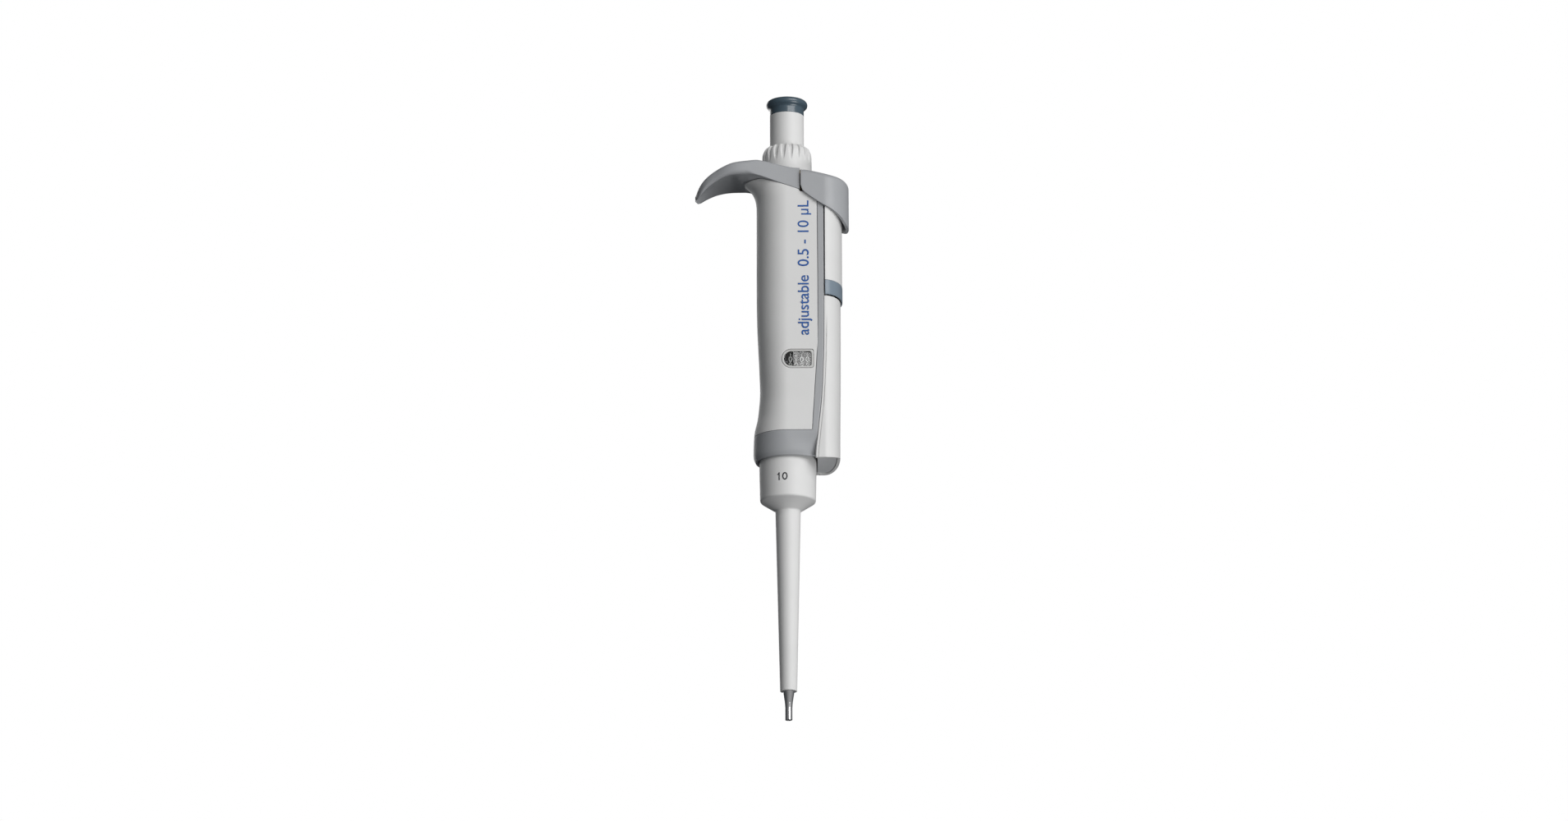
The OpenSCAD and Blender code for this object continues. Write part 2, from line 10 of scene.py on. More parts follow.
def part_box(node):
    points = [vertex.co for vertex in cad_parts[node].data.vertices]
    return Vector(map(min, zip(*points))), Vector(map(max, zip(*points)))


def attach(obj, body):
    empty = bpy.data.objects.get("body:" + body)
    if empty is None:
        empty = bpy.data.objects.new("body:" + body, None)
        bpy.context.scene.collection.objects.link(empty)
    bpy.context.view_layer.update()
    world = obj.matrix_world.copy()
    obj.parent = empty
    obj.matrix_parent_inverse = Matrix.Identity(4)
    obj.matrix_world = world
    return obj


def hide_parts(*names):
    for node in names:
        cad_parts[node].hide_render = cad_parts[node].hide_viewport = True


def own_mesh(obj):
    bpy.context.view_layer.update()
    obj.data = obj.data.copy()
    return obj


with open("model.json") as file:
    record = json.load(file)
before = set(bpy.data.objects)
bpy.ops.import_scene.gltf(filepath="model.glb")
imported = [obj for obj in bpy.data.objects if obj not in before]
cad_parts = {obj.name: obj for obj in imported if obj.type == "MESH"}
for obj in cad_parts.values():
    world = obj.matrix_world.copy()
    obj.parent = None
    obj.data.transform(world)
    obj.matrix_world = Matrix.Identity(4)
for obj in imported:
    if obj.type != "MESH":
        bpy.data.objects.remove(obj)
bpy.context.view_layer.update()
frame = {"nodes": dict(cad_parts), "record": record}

# Lengths below are in millimetres, and MM turns them into metres.
MM = 0.001


def low(node, axis=2):
    """Lowest coordinate of a CAD node on one axis, in millimetres."""
    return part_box(node)[0][axis] / MM


def high(node, axis=2):
    """Highest coordinate of a CAD node on one axis, in millimetres."""
    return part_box(node)[1][axis] / MM


# ---- driving dimensions, from the frame ----

GRIP_Z0 = low("grip_shell")
GRIP_Z1 = 207.0
RING_Z0 = low("chassis")
RING_Z1 = GRIP_Z0 - 0.1
RAIL_Z1 = high("chassis")
GRIP_HALF_W = 11.5
RING_HALF_W = high("chassis", 1)
SPINE_X = high("spine_cover", 0)
COVER_Z1 = high("spine_cover")
BAND_Z0, BAND_Z1 = low("colour_band"), high("colour_band")
SLIDE_Z0, SLIDE_Z1 = low("ejector_slide"), high("ejector_slide")
SLIDE_X = high("ejector_slide", 0)
SLIDE_HALF_W = high("ejector_slide", 1)
BUTTON_X0, BUTTON_X1 = low("ejector_button", 0), high("ejector_button", 0)
BUTTON_HALF_W = high("ejector_button", 1)
HOOK_X0, HEAD_X1 = low("finger_hook", 0), high("finger_hook", 0)
RING_R = 9.3
VOLUME_Z0, VOLUME_Z1 = low("volume_ring"), high("volume_ring")
SLEEVE_R = high("button_sleeve", 0)
SLEEVE_Z0, SLEEVE_Z1 = low("button_sleeve"), high("button_sleeve")
CAP_Z0, CAP_Z1 = low("button_cap"), high("button_cap")
CAP_R = high("button_cap", 0)
COLLAR_R = high("ejector_sleeve", 0)
EJECT_Z0, EJECT_Z1 = low("ejector_sleeve"), high("ejector_sleeve")
WINDOW_Z0, WINDOW_Z1 = low("window_lens") - 0.4, high("window_lens") + 0.4
WINDOW_X0, WINDOW_X1 = low("window_lens", 0) - 0.4, high("window_lens", 0) + 0.4
AXLE_Y = (low("wheel_tens", 1) + high("wheel_tens", 1)) / 2
AXLE_Z = (low("wheel_tens") + high("wheel_tens")) / 2
WHEEL_R = (high("wheel_tens") - low("wheel_tens")) / 2

# The spine's outline is half an ellipse about this X
SPINE_CENTRE = 13.6
SEAM = 0.12

# The handle's outline against height: reach of the left end, half width, the
# front and back edges of the rail on each flank, and reach of the spine
LEFT = [(98, 12.6), (101, 12.8), (109.5, 12.4), (115, 11.2), (124, 10.35),
        (132, 10.5), (150, 11.3), (162, 11.5), (197, 11.5), (200, 11.7),
        (202, 12.2), (204, 13.1), (205.5, 14.3), (207, 16), (208, 17.6)]
WIDTH = [(98, RING_HALF_W), (109.5, RING_HALF_W), (121, GRIP_HALF_W),
         (200, GRIP_HALF_W)]
RAIL_FRONT = [(98, 9), (110, 9.2), (122, 9.95), (145, 11.2), (200, 11.2)]
RAIL_BACK = [(98, 10.3), (107, 11.1), (122, 12.6), (145, 13.5), (200, 13.5)]
SPINE = [(98, SPINE_X - 0.4), (130, SPINE_X - 0.1), (158, SPINE_X)]

# The hook against X: crest, lower edge, half width
CREST = [(HOOK_X0, 202.4), (-34, 203.6), (-33, 205.4), (-31, 207.6), (-28, 209.7),
         (-24.5, 211.4), (-20, 212.9), (-12, 213.7), (-9, 213.3), (HEAD_X1, 210.5)]
LOWER = [(HOOK_X0, 201.2), (-33.5, 201), (-30.4, 203.7), (-27, 205.9), (-23.7, 207.3),
         (-20.9, 207.9), (-18, 208.1), (-14, 208), (-10, 207.15), (-3.6, 204.85),
         (HEAD_X1, 201.95), (8, 200.8)]
HALF = [(HOOK_X0, 1.6), (-33.6, 4), (-32, 6.2), (-30, 7.8), (-27, 9.4), (-23, 11.2),
        (-19, 12), (-12, 12), (0, 11.7), (HEAD_X1, 11.7)]

# The ejector button's lower edge and roof against X
BUTTON_LOW = [(5, 203.4), (5.2, 202.3), (5.7, 201.3), (6.6, 200.4), (7.9, 199.4),
              (10.4, 197.6), (13.6, 195.5), (16.9, 193.8), (20.3, 191.7), (BUTTON_X1, 189.4)]
BUTTON_TOP = [(5, 209.9), (16, 207.9), (22, 207.5), (BUTTON_X1, 207.4)]


def curve(at, knots):
    """Value of a smooth curve through (position, value) knots."""
    i = 0
    while i < len(knots) - 2 and at >= knots[i + 1][0]:
        i += 1

    def tangent(k):
        if k <= 0 or k >= len(knots) - 1:
            return 0
        rise = knots[k + 1][1] - knots[k - 1][1]
        return rise / (knots[k + 1][0] - knots[k - 1][0])

    (a, va), (b, vb) = knots[i], knots[i + 1]
    h = b - a
    u = min(1, max(0, (at - a) / h))
    v = 1 - u
    start = va * (1 + 2 * u) * v * v + h * tangent(i) * u * v * v
    return start + vb * u * u * (3 - 2 * u) - h * tangent(i + 1) * u * u * v


def mix(a, b, t):
    return a + (b - a) * t


def smooth(t):
    t = min(1, max(0, t))
    return t * t * (3 - 2 * t)


# ---- materials ----


def new_material(name):
    """An empty node material and its output's shader."""
    material = bpy.data.materials.new(name)
    material.use_nodes = True
    tree = material.node_tree
    shader = tree.nodes["Principled BSDF"]
    return material, tree, shader


def noise(tree, scale, detail=3, stretch=None):
    """Noise in object space; stretch scales the three axes."""
    place = tree.nodes.new("ShaderNodeTexCoord")
    texture = tree.nodes.new("ShaderNodeTexNoise")
    texture.inputs["Scale"].default_value = scale
    texture.inputs["Detail"].default_value = detail
    source = place.outputs["Object"]
    if stretch:
        mapping = tree.nodes.new("ShaderNodeMapping")
        mapping.inputs["Scale"].default_value = stretch
        tree.links.new(source, mapping.inputs["Vector"])
        source = mapping.outputs["Vector"]
    tree.links.new(source, texture.inputs["Vector"])
    return texture.outputs["Fac"]


def ranged(tree, value, low_value, high_value):
    """Maps a 0-1 value on to a range."""
    node = tree.nodes.new("ShaderNodeMapRange")
    node.inputs["From Min"].default_value = 0.3
    node.inputs["From Max"].default_value = 0.7
    node.inputs["To Min"].default_value = low_value
    node.inputs["To Max"].default_value = high_value
    tree.links.new(value, node.inputs["Value"])
    return node.outputs["Result"]


def tinted(tree, value, colour, spread):
    """Colour that wanders a little round a base colour."""
    ramp = tree.nodes.new("ShaderNodeValToRGB")
    ramp.color_ramp.elements[0].position = 0.3
    ramp.color_ramp.elements[1].position = 0.7
    ramp.color_ramp.elements[0].color = [c * (1 - spread) for c in colour] + [1]
    ramp.color_ramp.elements[1].color = [min(1, c * (1 + spread)) for c in colour] + [1]
    tree.links.new(value, ramp.inputs["Fac"])
    return ramp.outputs["Color"]


def bump(tree, shader, height, strength, depth):
    node = tree.nodes.new("ShaderNodeBump")
    node.inputs["Strength"].default_value = strength
    node.inputs["Distance"].default_value = depth
    tree.links.new(height, node.inputs["Height"])
    tree.links.new(node.outputs["Normal"], shader.inputs["Normal"])


def plastic(name, colour, roughness, grain=0.25, grain_size=0.25, spread=0.02, coat=0.0):
    """Moulded plastic: slight colour drift, uneven polish and a fine texture."""
    material, tree, shader = new_material(name)
    drift = noise(tree, 60, 2)
    tree.links.new(tinted(tree, drift, colour, spread), shader.inputs["Base Color"])
    polish = noise(tree, 260, 4)
    tree.links.new(ranged(tree, polish, roughness - 0.04, roughness + 0.05),
                   shader.inputs["Roughness"])
    bump(tree, shader, noise(tree, 1 / (grain_size * MM), 2), grain, 0.01 * MM)
    shader.inputs["Coat Weight"].default_value = coat
    shader.inputs["Coat Roughness"].default_value = 0.12
    return material


def metal(name, colour, roughness, turned=0.15, stretch=(40, 40, 9000)):
    """Metal with fine lines from turning or drawing."""
    material, tree, shader = new_material(name)
    shader.inputs["Metallic"].default_value = 1
    lines = noise(tree, 1, 3, stretch)
    tree.links.new(tinted(tree, noise(tree, 150, 2), colour, 0.04),
                   shader.inputs["Base Color"])
    tree.links.new(ranged(tree, lines, roughness * 0.7, roughness * 1.4),
                   shader.inputs["Roughness"])
    bump(tree, shader, lines, turned, 0.01 * MM)
    return material


WHITE = plastic("white_plastic", (0.70, 0.70, 0.695), 0.5)
GREY = plastic("grey_plastic", (0.36, 0.37, 0.385), 0.42, grain=0.5, grain_size=0.18)
CAP = plastic("cap_plastic", (0.055, 0.088, 0.115), 0.3, grain=0.1, coat=0.3)
BAND = plastic("band_plastic", (0.19, 0.24, 0.29), 0.34)
BEZEL = plastic("bezel_plastic", (0.55, 0.55, 0.54), 0.3)
BLACK = plastic("black_plastic", (0.012, 0.012, 0.014), 0.45)
INNER = plastic("inner_plastic", (0.5, 0.5, 0.52), 0.45)
BUSH = plastic("bush_plastic", (0.55, 0.43, 0.24), 0.5, grain=0.4)
RUBBER = plastic("seal_rubber", (0.02, 0.02, 0.02), 0.6, grain=0.6)
INK_WHITE = plastic("digit_ink", (0.85, 0.85, 0.83), 0.4, grain=0.1)
INK_GREY = plastic("grey_ink", (0.035, 0.038, 0.043), 0.4, grain=0.1)
INK_BLUE = plastic("blue_ink", (0.005, 0.085, 0.34), 0.5, grain=0.1)
INSERT = plastic("insert_plastic", (0.6, 0.61, 0.62), 0.5, grain=0.4)
STEEL = metal("polished_steel", (0.72, 0.72, 0.73), 0.13)
WIRE = metal("spring_steel", (0.55, 0.55, 0.56), 0.3, 0.3)
SPINDLE = metal("spindle_metal", (0.66, 0.67, 0.69), 0.28, 0.4)
BRASS = metal("gear_brass", (0.72, 0.53, 0.24), 0.25, 0.3)


def clear_material():
    """Clear moulded window."""
    material, tree, shader = new_material("clear_lens")
    shader.inputs["Transmission Weight"].default_value = 1
    shader.inputs["IOR"].default_value = 1.46
    shader.inputs["Base Color"].default_value = (0.97, 0.98, 0.98, 1)
    polish = noise(tree, 300, 3)
    tree.links.new(ranged(tree, polish, 0.01, 0.05), shader.inputs["Roughness"])
    return material


CLEAR = clear_material()

SLOT_MATERIALS = {
    "white_plastic": WHITE, "grey_plastic": GREY, "cap_plastic": CAP,
    "band_plastic": BAND, "bezel_plastic": BEZEL, "clear_lens": CLEAR,
    "black_plastic": BLACK, "inner_plastic": INNER, "bush_plastic": BUSH,
    "seal_rubber": RUBBER, "spring_steel": WIRE, "polished_steel": STEEL,
    "spindle_metal": SPINDLE, "gear_brass": BRASS,
}


# ---- mesh tools ----


def add_piece(name, verts, faces, body, slot, material, replaces=()):
    """A piece from points in millimetres, smooth shaded, riding on a body."""
    mesh = bpy.data.meshes.new(name)
    mesh.from_pydata([[MM * c for c in v] for v in verts], [], faces)
    mesh.validate()
    mesh.materials.append(material)
    mesh.polygons.foreach_set("use_smooth", [True] * len(mesh.polygons))
    piece = bpy.data.objects.new(name, mesh)
    bpy.context.collection.objects.link(piece)
    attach(piece, body)
    if replaces:
        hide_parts(*replaces)
    return piece


def thicken(piece, thickness, edge=0.25, segments=3, angle=38):
    """Gives a sheet a wall inside it and rounds its edges."""
    if thickness:
        solid = piece.modifiers.new("wall", "SOLIDIFY")
        solid.thickness = thickness * MM
        solid.offset = -1
        solid.use_even_offset = True
    bevel = piece.modifiers.new("edge", "BEVEL")
    bevel.width = edge * MM
    bevel.segments = segments
    bevel.limit_method = "ANGLE"
    bevel.angle_limit = math.radians(angle)
    bevel.use_clamp_overlap = True
    piece.modifiers.new("normals", "WEIGHTED_NORMAL").keep_sharp = True
    return piece


def grid_faces(rows, cols, skip=lambda r, c: False, wrap=False):
    """Quads of a grid of rows going up and columns going round to the right."""
    faces = []
    for r in range(rows - 1):
        for c in range(cols if wrap else cols - 1):
            if not skip(r, c):
                d = (c + 1) % cols
                faces.append((r * cols + c, r * cols + d, (r + 1) * cols + d,
                              (r + 1) * cols + c))
    return faces


def turned(name, profile, body, slot, material, replaces=(), steps=128, shape=None):
    """A closed turned piece from a loop of (radius, height), going up outside."""
    verts = []
    for r, z in profile:
        for k in range(steps):
            a = 2 * math.pi * k / steps
            out = shape(r, z, a) if shape else r
            verts.append((out * math.cos(a), out * math.sin(a), z))
    rows = len(profile)
    faces = grid_faces(rows, steps, wrap=True)
    last = (rows - 1) * steps
    if profile[0][0] > 1e-6:
        faces += [(last + k, last + (k + 1) % steps, (k + 1) % steps, k)
                  for k in range(steps)]
    piece = add_piece(name, verts, faces, body, slot, material, replaces)
    merge_close(piece)
    piece.modifiers.new("normals", "WEIGHTED_NORMAL").keep_sharp = True
    return piece


def merge_close(piece):
    """Joins points that fall together, such as those on a turned piece's axis."""
    mesh = bmesh.new()
    mesh.from_mesh(piece.data)
    bmesh.ops.remove_doubles(mesh, verts=mesh.verts, dist=1e-7)
    bmesh.ops.recalc_face_normals(mesh, faces=mesh.faces)
    mesh.to_mesh(piece.data)
    mesh.free()


def rounded(points, radii, steps=5):
    """A polyline with its corners rounded: radii[i] is the radius at point i."""
    out = []
    n = len(points)
    for i, p in enumerate(points):
        r = radii.get(i, 0)
        if not r:
            out.append(p)
            continue
        a, b = points[i - 1], points[(i + 1) % n]
        u = np.subtract(a, p) / np.linalg.norm(np.subtract(a, p))
        v = np.subtract(b, p) / np.linalg.norm(np.subtract(b, p))
        half = math.acos(max(-1, min(1, float(u @ v)))) / 2
        cut = r / math.tan(half)
        for k in range(steps + 1):
            t = k / steps
            s = (1 - t) ** 2
            q = t ** 2
            out.append(tuple(np.add(p, u * cut * s + v * cut * q)))
    return out


# ---- handle shells ----


def left_outline(z, inset, flank, arc):
    """Points round the handle's left side at height z, from the +Y flank's edge to the -Y one."""
    edge = curve(z, RAIL_FRONT) - inset
    reach, half = curve(z, LEFT), curve(z, WIDTH)
    plus = [(edge * (1 - f), half) for f in flank]
    bend = [(-reach * math.sin(math.pi * k / arc), half * math.cos(math.pi * k / arc))
            for k in range(1, arc)]
    minus = [(x, -half) for x, _ in reversed(plus)]
    return plus + bend + minus


def grip_drop(x, z):
    """How far the grip's top edge falls towards the ejector."""
    u = max(0, min(1, (z - 190) / (GRIP_Z1 - 190)))
    return 0.35 * max(0, x + 10) * u * u


def window_outline(angle, grow):
    """Point of the window's outline, seen at an angle from its middle.

    The outline is round on the left and square on the right.
    """
    cx, cz = (WINDOW_X0 + WINDOW_X1) / 2, (WINDOW_Z0 + WINDOW_Z1) / 2
    r = (WINDOW_Z1 - WINDOW_Z0) / 2 + grow
    left, right, corner = WINDOW_X0 + r - grow, WINDOW_X1 + grow, 0.9

    def inside(x, z):
        z = abs(z - cz)
        if x < left:
            return math.hypot(x - left, z) < r
        ex, ez = x - (right - corner), z - (r - corner)
        if ex > 0 and ez > 0:
            return math.hypot(ex, ez) < corner
        return x < right and z < r

    near, far = 0.0, 20.0
    for _ in range(40):
        d = (near + far) / 2
        if inside(cx + d * math.cos(angle), cz + d * math.sin(angle)):
            near = d
        else:
            far = d
    return cx + near * math.cos(angle), cz + near * math.sin(angle)


FLANK = [0, 0.035] + [k / 16 for k in range(2, 17)]
ARC = 64
PATCH_Z0, PATCH_Z1 = WINDOW_Z0 - 2, WINDOW_Z1 + 2


def build_grip():
    """White front shell, with the window's opening worked into its near flank."""
    zs = list(np.linspace(GRIP_Z0, PATCH_Z0, 20)) + list(
        np.linspace(PATCH_Z0, PATCH_Z1, 9)[1:])
    zs += list(np.linspace(PATCH_Z1, 192, 34)[1:]) + list(np.linspace(192, 202, 11)[1:])
    zs += list(np.linspace(202, GRIP_Z1, 14)[1:])
    notch = 200.2
    verts = []
    for z in zs:
        for x, y in left_outline(z, SEAM, FLANK, ARC):
            top = z - grip_drop(x, z)
            if x > HEAD_X1 - 0.1:
                lift = 0.9 * (1 - smooth((x - 5) / 4))
                top = min(top, notch + lift - (GRIP_Z1 - z) * 0.02)
            verts.append((x, y, top))
    cols = len(verts) // len(zs)
    patch_c0 = cols - len(FLANK) - 9
    patch_c1 = cols - 2
    patch_r0 = zs.index(min(zs, key=lambda z: abs(z - PATCH_Z0)))
    patch_r1 = zs.index(min(zs, key=lambda z: abs(z - PATCH_Z1)))

    def skip(r, c):
        return patch_r0 <= r < patch_r1 and patch_c0 <= c < patch_c1

    faces = grid_faces(len(zs), cols, skip)
    rim = [patch_r0 * cols + c for c in range(patch_c0, patch_c1)]
    rim += [r * cols + patch_c1 for r in range(patch_r0, patch_r1)]
    rim += [patch_r1 * cols + c for c in range(patch_c1, patch_c0, -1)]
    rim += [r * cols + patch_c0 for r in range(patch_r1, patch_r0, -1)]
    cx, cz = (WINDOW_X0 + WINDOW_X1) / 2, (WINDOW_Z0 + WINDOW_Z1) / 2
    loop = rim
    rings = 6
    starts = [verts[i] for i in rim]
    angles = [math.atan2((p[2] - cz) / (PATCH_Z1 - cz), (p[0] - cx) / (WINDOW_X1 - cx + 1))
              for p in starts]
    ends = [window_outline(math.atan2(math.sin(a) * 3.6, math.cos(a) * 5.9), 0.55)
            for a in angles]
    for ring in range(1, rings + 1):
        t = ring / rings
        inner = []
        for p, (x1, z1) in zip(starts, ends):
            x, z = mix(p[0], x1, t), mix(p[2], z1, t)
            reach, half = curve(z, LEFT), curve(z, WIDTH)
            y = -half if x >= 0 else -half * math.sqrt(1 - (x / reach) ** 2)
            inner.append(len(verts))
            verts.append((x, y, z))
        n = len(loop)
        faces += [(loop[i], loop[(i + 1) % n], inner[(i + 1) % n], inner[i])
                  for i in range(n)]
        loop = inner
    piece = add_piece("grip", verts, faces, "housing", "white_plastic", WHITE,
                      ["grip_shell"])
    return drop_loose(thicken(piece, 1.5, 0.22))


def drop_loose(piece):
    """Removes points that no face uses."""
    mesh = bmesh.new()
    mesh.from_mesh(piece.data)
    bmesh.ops.delete(mesh, geom=[v for v in mesh.verts if not v.link_faces],
                     context="VERTS")
    bmesh.ops.remove_doubles(mesh, verts=mesh.verts, dist=1e-6)
    mesh.to_mesh(piece.data)
    mesh.free()
    return piece


def build_frame():
    """Grey frame: the lower ring and the rail up each flank in one L."""
    ring_zs = [RING_Z0, RING_Z0 + 0.4, RING_Z0 + 1, RING_Z0 + 1.8, RING_Z0 + 3]
    ring_zs += list(np.linspace(RING_Z0 + 3, RING_Z1, 8)[1:])
    zs = ring_zs + list(np.linspace(RING_Z1, RAIL_Z1, 60)[1:])
    across = [k / 6 for k in range(6)]
    flank = [k / 10 for k in range(11)]
    verts = []
    for z in zs:
        front, back = curve(z, RAIL_FRONT), curve(z, RAIL_BACK)
        half = curve(z, WIDTH)
        middle = left_outline(z, 0, flank, 48)
        tuck = max(0, RING_Z0 + 2.5 - z) / 2.5
        tuck = 0.7 * tuck * tuck
        turn_in = smooth((RING_Z1 - z) / (RING_Z1 - RING_Z0))
        row = [(mix(back, front, f), half) for f in across] + middle
        row += [(mix(front, back, f + across[1]), -half) for f in across]
        for x, y in row:
            if x > 0:
                y = mix(y, math.copysign(math.sqrt(half * half - 0.55 * x * x), y), turn_in)
            verts.append((x * (1 - tuck / 12) if x < 0 else x, y * (1 - tuck / half), z))
    cols = len(verts) // len(zs)
    rail = len(across)

    def skip(r, c):
        return r >= len(ring_zs) - 1 and rail <= c < cols - 1 - rail

    faces = grid_faces(len(zs), cols, skip)
    piece = add_piece("frame", verts, faces, "housing", "grey_plastic", GREY,
                      ["chassis"])
    return drop_loose(thicken(piece, 1.15, 0.2))


def build_lips():
    """Lip inside each rail that the spine's edge runs over, closing the joint's gap."""
    zs = np.linspace(RING_Z0 + 6, RAIL_Z1, 40)
    for side, word in ((-1, "near"), (1, "far")):
        verts = []
        for z in zs:
            back, half = curve(z, RAIL_BACK), curve(z, WIDTH)
            outer, inner = side * (half - 1.35), side * (half - 2.2)
            verts += [(back - 0.9, outer, z), (back + 1.3, outer, z),
                      (back + 1.3, inner, z), (back - 0.9, inner, z)]
        faces = grid_faces(len(zs), 4, wrap=True)
        faces += [(3, 2, 1, 0), tuple(len(verts) - 4 + k for k in range(4))]
        piece = add_piece("lip_" + word, verts, faces, "housing", "grey_plastic", GREY)
        merge_close(piece)
        thicken(piece, 0, 0.15)


def spine_outline(x0, reach, half, offsets, arc):
    """Points round the spine's side, from the -Y edge at x0 to the +Y one.

    offsets are distances back from the edge; beyond the last, steps are even round the bend.
    """
    a = reach - SPINE_CENTRE

    def point(s):
        if s <= 0:
            return SPINE_CENTRE + a * s, -half
        return SPINE_CENTRE + a * math.sin(s), -half * math.cos(s)

    def station(x):
        t = (x - SPINE_CENTRE) / a
        return t if t <= 0 else math.asin(t)

    stations = [station(x0 + d) for d in offsets]
    stations += [mix(stations[-1], math.pi / 2, k / arc) for k in range(1, arc + 1)]
    near = [point(s) for s in stations]
    return near + [(x, -y) for x, y in reversed(near[:-1])]


def cover_bottom(y):
    """Height of the spine's lower rim, which rises towards its back."""
    return 97 + 3 * (1 - abs(y) / RING_HALF_W)


def build_cover():
    """White lower cover of the spine, with a fine groove beside each rail."""
    groove = {2: 0.4, 3: 0.4}
    verts = []
    steps = np.linspace(0, 1, 56)
    for u in steps:
        z = mix(98, COVER_Z1, u)
        x0 = curve(z, RAIL_BACK) + 0.18
        row = spine_outline(x0, curve(z, SPINE), curve(z, WIDTH) - 0.12,
                            [0, 0.5, 0.6, 0.85, 0.95, 1.3], 34)
        n = len(row)
        for i, (x, y) in enumerate(row):
            depth = groove.get(i, groove.get(n - 1 - i, 0)) * smooth((COVER_Z1 - 6 - z) / 8)
            verts.append((x, y - math.copysign(depth, y), mix(cover_bottom(y), COVER_Z1, u)))
    cols = len(verts) // len(steps)
    piece = add_piece("lower_spine", verts, grid_faces(len(steps), cols), "housing",
                      "white_plastic", WHITE, ["spine_cover"])
    return thicken(piece, 1.1, 0.15)


def build_foot():
    """Grey insert recessed in the spine's lower end."""
    gap = 1.25
    outline = spine_outline(11.0, SPINE_X - 0.4 - gap, RING_HALF_W - 0.2 - gap,
                            [0, 0.7], 24)
    verts = [(x, y, cover_bottom(y) + 0.3 + dz) for dz in (0, 1.2) for x, y in outline]
    n = len(outline)
    faces = [(i, (i + 1) % n, n + (i + 1) % n, n + i) for i in range(n)]
    faces += [tuple(range(n - 1, -1, -1)), tuple(range(n, 2 * n))]
    piece = add_piece("spine_insert", verts, faces, "housing", "grey_plastic",
                      INSERT, ["spine_foot"])
    return thicken(piece, 0, 0.15)


def build_sheath(name, z0, z1, proud, slot, material, replaces):
    """A length of the moving upper spine: the white slide or the coloured band."""
    zs = np.linspace(z0, z1, max(6, int((z1 - z0) / 1.5)))
    verts = []
    for z in zs:
        row = spine_outline(14.05, SLIDE_X + proud, SLIDE_HALF_W + proud, [0, 0.5], 32)
        verts += [(x, y, z) for x, y in row]
    cols = len(verts) // len(zs)
    piece = add_piece(name, verts, grid_faces(len(zs), cols), "ejector", slot,
                      material, replaces)
    return thicken(piece, 0.5, 0.12)


def build_button():
    """Grey thumb button of the ejector: wall, rounded shoulder and roof."""
    radius, hole = 2.2, 9.9
    flank = [8.6 * k / 10 for k in range(11)]
    outline = spine_outline(BUTTON_X0, BUTTON_X1, BUTTON_HALF_W, flank, 30)
    inner = spine_outline(BUTTON_X0, BUTTON_X1 - radius, BUTTON_HALF_W - radius, flank, 30)
    reach = math.degrees(math.acos(BUTTON_X0 / hole))
    n = len(outline)
    columns = []
    for i, ((x, y), (xi, yi)) in enumerate(zip(outline, inner)):
        top = curve(x, BUTTON_TOP)
        base = curve(x, BUTTON_LOW)
        column = [(x, y, mix(base, top - radius, k / 12)) for k in range(12)]
        for k in range(9):
            a = math.pi / 2 * k / 8
            s = 1 - math.cos(a)
            column.append((mix(x, xi, s), mix(y, yi, s), top - radius * (1 - math.sin(a))))
        a = math.radians(mix(-reach, reach, i / (n - 1)))
        hx, hy = hole * math.cos(a), hole * math.sin(a)
        for k in range(1, 7):
            px, py = mix(xi, hx, k / 6), mix(yi, hy, k / 6)
            column.append((max(BUTTON_X0, px), py, curve(max(BUTTON_X0, px), BUTTON_TOP)))
        columns.append(column)
    rows = len(columns[0])
    verts = [columns[c][r] for r in range(rows) for c in range(n)]
    piece = add_piece("thumb_button", verts, grid_faces(rows, n), "ejector",
                      "grey_plastic", GREY, ["ejector_button"])
    return thicken(piece, 1.15, 0.5, 4)


